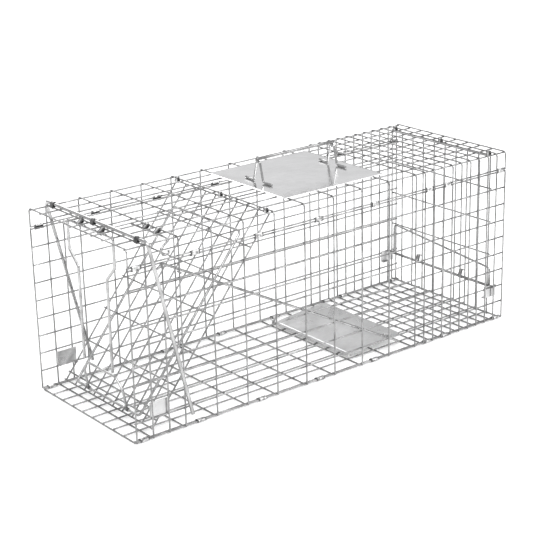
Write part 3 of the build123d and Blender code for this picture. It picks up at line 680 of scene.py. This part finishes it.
def rear_door():
    """The rear door, its lock rod with the lifting bail, and the tall clips that they slide in."""
    length = REAR_HINGE.z - REAR_DOOR_FOOT
    rows = [n * COARSE for n in range(REAR_CROSS_WIRES)]
    door_mesh("rear_door_panel", "rear_door_mesh", "rear_door", REAR_HINGE, Z, X, length, rows)
    lock_low, lock_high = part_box("rear_lock_bail")
    radius = REAR_LOCK_WIRE / 2
    x, z, reach, half = lock_low.x + radius, lock_low.z + radius, lock_high.y, REAR_LOCK_HALF
    lock = Shape("rear_lock", [BENT_ZINC, WELD_PAINTED_SHADE])
    tube(lock, [(x, -reach, z), (x, -reach / 3, z), (x, reach / 3, z), (x, reach, z)], REAR_LOCK_WIRE)
    points = [(x, -half, z), (x, -half, z + REAR_LOCK_RISE_NEAR), (x, half, z + REAR_LOCK_RISE_FAR),
              (x, half, z)]
    tube(lock, bent_path(points, REAR_LOCK_BEND), REAR_LOCK_WIRE)
    for side in (-1, 1):
        nugget(lock, Vector((x, side * half, z + radius * 0.7)), Y, Z, radius * 1.25)
    lock.finish("rear_lock", "zinc_wire", "rear_lock_bail")
    lift = JOINTS["rear_lock_slide"]["range_m"][1] + GAP
    w = x - REAR_HINGE.x
    circles = [(0, 0, WIRE / 2), (w, 0, radius), (w, lift, radius)]
    rows = [-2 * DOOR_SPACING, 2 * DOOR_SPACING]
    pivot_clips("rear_lock_clip_set", "rear_door", "rear_lock_clips", Vector((REAR_HINGE.x, 0, z)), circles,
                rows, split=0.0)


drop_door()
rear_door()


# Bails and lock arms --------------------------------------------------------------------------------------

def mirrored(outline):
    """A wire's full run from one half: the points are (x, y, z) from its free end to the middle."""
    return [(x, -y, z) for x, y, z in outline] + list(reversed(outline))


def outer_bail():
    """The heavy bail over the top, with legs that lean back down both outsides."""
    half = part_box("outer_bail")[1].y - BAIL_WIRE / 2
    foot_x = BAIL_PIVOT.x + (BAIL_PIVOT.z - BAIL_LEG_FOOT) * math.tan(BAIL_LEAN)
    shape = Shape("heavy_bail", [HEAVY_ZINC])
    outline = [(foot_x, half, BAIL_LEG_FOOT), (BAIL_PIVOT.x, half, BAIL_PIVOT.z)]
    tube(shape, bent_path(mirrored(outline), BAIL_BEND, 10), BAIL_WIRE, sides=20)
    shape.finish("bail", "zinc_wire", "outer_bail")


def lock_arms():
    """Two cranked arms that hang from one bar under the top mesh."""
    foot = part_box("lock_arm_frame")[0].z
    x, top = ARM_PIVOT.x, ARM_PIVOT.z
    jog = top - ARM_JOG_DROP
    outline = [(x, ARM_FOOT_HALF, foot), (x, ARM_FOOT_HALF, jog - ARM_JOG_HEIGHT), (x, ARM_HALF, jog),
               (x, ARM_HALF, top)]
    shape = Shape("lock_arms", [HEAVY_ZINC])
    tube(shape, bent_path(mirrored(outline), ARM_WIRE), ARM_WIRE, sides=18)
    shape.finish("lock_arms", "zinc_wire", "lock_arm_frame")


def front_lock():
    """The bail on the drop door's foot, whose legs end in rings round the long frame's lower bar."""
    foot_y = 2 * DOOR_SPACING
    knee = Vector((FRONT + LOCK_KNEE_X, 0, LOCK_KNEE_Z))
    bore = DOOR_BAR_WIRE / 2
    foot = LOCK_PIVOT + (knee - LOCK_PIVOT).normalized() * (bore + RUNNING_CLEAR + SHEET / 2)
    outline = [(foot.x, foot_y, foot.z), (knee.x, foot_y, knee.z),
               (FRONT + LOCK_TOP_X, ARM_FOOT_HALF, LOCK_TOP_Z)]
    shape = Shape("front_lock", [BENT_ZINC, CLIP_PAINTED_SHADOW])
    tube(shape, bent_path(mirrored(outline), LOCK_BEND), LOCK_WIRE, sides=18)
    shape.finish("front_lock", "zinc_wire", "front_lock_bail")
    rings = Shape("front_lock_rings", [RING, CLIP_PAINTED_SHADOW])
    for side in (-1, 1):
        place = LOCK_PIVOT + Y * side * foot_y
        folded_clip(rings, place, X, Z, [(0, 0, bore)], PIVOT_CLIP, RUNNING_CLEAR, 0.6)
    rings.finish("front_lock", "zinc_wire")


outer_bail()
lock_arms()
front_lock()


# Treadle and trigger --------------------------------------------------------------------------------------

def trigger_rod():
    """The long rod from the treadle's ear up to the latch, and the peg that it lies over."""
    low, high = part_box("trigger_rod")
    foot = pivot("trigger_rod_pivot")
    y = low.y + ROD_WIRE / 2
    top = Vector((FRONT + ROD_TOP_X, y, TOP_CROSS_Z - ROD_TOP_DROP))
    tip = top - X * ROD_TIP_REACH - Z * ROD_TIP_DROP
    points = [tip, top, (foot.x, y, foot.z), (foot.x, high.y, foot.z)]
    shape = Shape("trigger_rod_wire", [BENT_ZINC])
    tube(shape, bent_path(points, ROD_BEND), ROD_WIRE, sides=16)
    shape.finish("rod", "zinc_wire", "trigger_rod")
    low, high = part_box("trigger_rod_rest")
    middle = (low + high) / 2
    peg = Shape("trigger_rod_peg", [MESH_ZINC, WELD_PAINTED_SHADE])
    path = [(middle.x, low.y + (high.y - low.y) * n / 3, middle.z) for n in range(4)]
    tube(peg, path, high.z - low.z)
    nugget(peg, Vector((low.x, low.y + WIRE / 2, middle.z)), Y, Z, WIRE * 0.6)
    peg.finish("cage", "zinc_wire", "trigger_rod_rest")


def trigger_latch():
    """The wire latch: a pivot bar under the top mesh and a hook at its near end."""
    low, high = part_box("trigger_latch")
    hinge = pivot("trigger_latch_pivot")
    y = low.y + LATCH_WIRE / 2
    nose = low.z + LATCH_WIRE / 2
    outline = [(FRONT + LATCH_KNEE_X, hinge.z - LATCH_KNEE_DROP), (FRONT + LATCH_NOSE_X, nose),
               (FRONT + LATCH_TIP_X, nose), (FRONT + LATCH_TIP_X, nose + LATCH_TIP_RISE)]
    points = [(hinge.x, high.y, hinge.z), (hinge.x, y, hinge.z)] + [(x, y, z) for x, z in outline]
    shape = Shape("latch_hook", [HEAVY_ZINC])
    tube(shape, bent_path(points, LATCH_BENDS), LATCH_WIRE, sides=16)
    shape.finish("latch", "zinc_wire", "trigger_latch")
    pair = [(0, 0, LATCH_WIRE / 2), (FRONT + TOP_STATIONS[2] - hinge.x, TOP_CROSS_Z - hinge.z, WIRE / 2)]
    rows = [-3 * TOP_SPACING, -2 * TOP_SPACING]
    pivot_clips("latch_clip_set", "cage", "trigger_latch_clips", hinge, pair, rows)


def treadle_pin():
    """The pin that the treadle turns on: a straight wire with slightly rounded ends."""
    low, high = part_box("treadle_pivot_rod")
    place = (low + high) / 2
    shape = Shape("treadle_pin", [BENT_ZINC])
    wire = high.z - low.z
    tube(shape, [(place.x, low.y, place.z), (place.x, 0, place.z), (place.x, high.y, place.z)], wire)
    shape.finish("cage", "zinc_wire", "treadle_pivot_rod")


def dress(node, material, bevel=0.25 * MM):
    """Gives a CAD node that stays its material, and breaks its sharp edges."""
    piece = frame["nodes"][node]
    piece.data.materials.clear()
    piece.data.materials.append(material)
    edge = piece.modifiers.new("edges", "BEVEL")
    edge.width = bevel
    edge.segments = 2
    edge.limit_method = "ANGLE"
    edge.angle_limit = math.radians(50)
    edge.harden_normals = False


trigger_rod()
trigger_latch()
treadle_pin()
dress("treadle_plate", TREADLE)
for side_name in ("near", "far"):
    dress(f"treadle_tab_{side_name}", PLATE)
    dress(f"front_catch_plate_{side_name}", PLATE)
    dress(f"rear_catch_plate_{side_name}", PLATE)


# Guard plate and handle -----------------------------------------------------------------------------------

def guard_point(u, v, size):
    """Where a point of the plate's unit square falls on the plate, whose corners are rounded."""
    x, y = u * size.x, v * size.y
    straight_x, straight_y = size.x / 2 - GUARD_CORNER, size.y / 2 - GUARD_CORNER
    over_x, over_y = abs(x) - straight_x, abs(y) - straight_y
    if over_x > 0 and over_y > 0:
        pull = max(over_x, over_y) / math.hypot(over_x, over_y)
        x = math.copysign(straight_x + over_x * pull, x)
        y = math.copysign(straight_y + over_y * pull, y)
    return x, y


def outer_line(grid):
    """The vertices along a grid's four edges, in order."""
    columns, lines = GUARD_COLUMNS, GUARD_LINES
    line = [grid[i][0] for i in range(columns)] + [grid[columns][j] for j in range(lines)]
    line += [grid[i][lines] for i in range(columns, 0, -1)] + [grid[0][j] for j in range(lines, 0, -1)]
    return line


def guard_plate():
    """The flat sheet under the handle: very slightly waved, with rounded corners and soft edges."""
    low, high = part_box("guard_plate")
    size, centre = high - low, (low + high) / 2
    shape = Shape("guard_sheet_plate", [GUARD])
    sheets = []
    for face_side in (1, -1):
        grid = []
        for i in range(GUARD_COLUMNS + 1):
            row = []
            for j in range(GUARD_LINES + 1):
                u, v = i / GUARD_COLUMNS - 0.5, j / GUARD_LINES - 0.5
                x, y = guard_point(u, v, size)
                swell = math.sin(9 * u + 1.3) * math.cos(7 * v - 0.6) + 0.6 * math.sin(15 * v + 4 * u)
                edge = min(0.5 - abs(u), 0.5 - abs(v))
                ease = min(1, edge / 0.06)
                rim = 0.12 * MM * (1 - min(1, edge / 0.006)) ** 2
                middle = centre.z + GUARD_WAVE * swell * 0.6 * ease
                thick = size.z / 2 - GUARD_WAVE - rim
                row.append(shape.bm.verts.new((centre.x + x, y, middle + face_side * thick)))
            grid.append(row)
        sheets.append(grid)
    for grid in sheets:
        for i in range(GUARD_COLUMNS):
            for j in range(GUARD_LINES):
                corners = (grid[i][j], grid[i + 1][j], grid[i + 1][j + 1], grid[i][j + 1])
                shape.bm.faces.new(corners).smooth = True
    first, second = outer_line(sheets[0]), outer_line(sheets[1])
    for n in range(len(first)):
        m = (n + 1) % len(first)
        shape.bm.faces.new((first[n], first[m], second[m], second[n]))
    shape.finish("cage", "guard_sheet", "guard_plate")


def handle():
    """Two upturned V supports of bent wire and the grip bar across their tops."""
    wire = HANDLE_WIRE
    for end in ("front", "rear"):
        low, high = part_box(f"handle_support_{end}")
        x, foot, top = (low.x + high.x) / 2, low.z + wire / 2, high.z - wire / 2
        outline = [(x, high.y, foot), (x, HANDLE_FOOT_HALF, foot), (x, wire, top)]
        shape = Shape(f"handle_leg_{end}", [HEAVY_ZINC, WELD_PAINTED_SHADE])
        tube(shape, bent_path(mirrored(outline), wire), wire, sides=18)
        for side in (-1, 1):
            place = Vector((x, side * HANDLE_WELD_HALF, low.z + 0.3 * MM))
            nugget(shape, place, Y, X, wire * 0.35)
        nugget(shape, Vector((x, 0, high.z)), X, Y, wire * 0.4)
        shape.finish("cage", "zinc_wire", f"handle_support_{end}")
    low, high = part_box("handle_grip_bar")
    z = (low.z + high.z) / 2
    bar = Shape("handle_grip", [GRIP_ZINC])
    path = [(low.x + (high.x - low.x) * n / 4, 0, z) for n in range(5)]
    tube(bar, path, GRIP_WIRE, sides=20, burr=0.9 * MM)
    bar.finish("cage", "zinc_wire", "handle_grip_bar")


guard_plate()
handle()


# Floor, light and camera ----------------------------------------------------------------------------------

def studio_floor():
    """A plain pale floor."""
    mesh = bpy.data.meshes.new("studio_floor")
    reach = 12
    corners = [(-reach, -reach, 0), (reach, -reach, 0), (reach, reach, 0), (-reach, reach, 0)]
    mesh.from_pydata(corners, [], [(0, 1, 2, 3)])
    floor = bpy.data.objects.new("studio_floor", mesh)
    floor.location.z = -0.0002
    bpy.context.scene.collection.objects.link(floor)
    nodes = Nodes("pale_floor")
    colour = nodes.ramp(nodes.noise(3), [(0.3, 0.93), (0.7, 0.95)])
    roughness = nodes.ramp(nodes.noise(5), [(0, 0.8), (1, 0.9)])
    nodes.metal(colour, roughness, 0.0)
    nodes.shader.inputs["Emission Color"].default_value = (1, 1, 1, 1)
    nodes.shader.inputs["Emission Strength"].default_value = 0.23
    mesh.materials.append(nodes.material)


def area_light(name, place, target, size, power):
    """A large square softbox."""
    data = bpy.data.lights.new(name, "AREA")
    data.shape = "SQUARE"
    data.size = size
    data.energy = power
    lamp = bpy.data.objects.new(name, data)
    bpy.context.scene.collection.objects.link(lamp)
    lamp.location = place
    lamp.visible_camera = False
    lamp.rotation_mode = "QUATERNION"
    lamp.rotation_quaternion = (Vector(target) - Vector(place)).to_track_quat("-Z", "Y")


def studio_light():
    """A white room that is a little darker low down, and three softboxes."""
    world = bpy.data.worlds.new("studio")
    bpy.context.scene.world = world
    world.use_nodes = True
    tree = world.node_tree
    coords = tree.nodes.new("ShaderNodeTexCoord")
    split = tree.nodes.new("ShaderNodeSeparateXYZ")
    ramp = tree.nodes.new("ShaderNodeValToRGB")
    elements = ramp.color_ramp.elements
    elements.new(0.3)
    for element, (position, grey) in zip(elements, ((0.0, 0.60), (0.3, 0.95), (0.85, 1.0))):
        element.position, element.color = position, (grey, grey, grey * 1.01, 1)
    tree.links.new(coords.outputs["Generated"], split.inputs["Vector"])
    tree.links.new(split.outputs["Z"], ramp.inputs["Fac"])
    tree.links.new(ramp.outputs["Color"], tree.nodes["Background"].inputs["Color"])
    tree.nodes["Background"].inputs["Strength"].default_value = 0.85
    area_light("key", (-1.6, -2.2, 2.6), (0, 0, 0.1), 1.6, 60)
    area_light("fill", (2.0, -1.75, 2.95), (0, 0, 0.1), 2.4, 66)
    area_light("back", (0.6, 2.6, 2.2), (0, 0, 0.1), 1.6, 30)


def camera():
    """A long lens from the drop door's near corner, a little above the cage."""
    data = bpy.data.cameras.new("camera")
    data.sensor_width = 36
    data.lens = 102
    view = bpy.data.objects.new("camera", data)
    bpy.context.scene.collection.objects.link(view)
    view.location = (-1.262, -1.578, 0.838)
    heading = math.radians(38.06)
    down = math.radians(19.28)
    ahead = math.cos(down)
    forward = Vector((math.sin(heading) * ahead, math.cos(heading) * ahead, -math.sin(down)))
    view.rotation_mode = "QUATERNION"
    level = forward.to_track_quat("-Z", "Y")
    roll = math.radians(-1.40)
    view.rotation_quaternion = level @ Matrix.Rotation(roll, 3, "Z").to_quaternion()
    data.clip_start, data.clip_end = 0.05, 60
    bpy.context.scene.camera = view


studio_floor()
studio_light()
camera()
bpy.context.scene.view_settings.view_transform = "Standard"
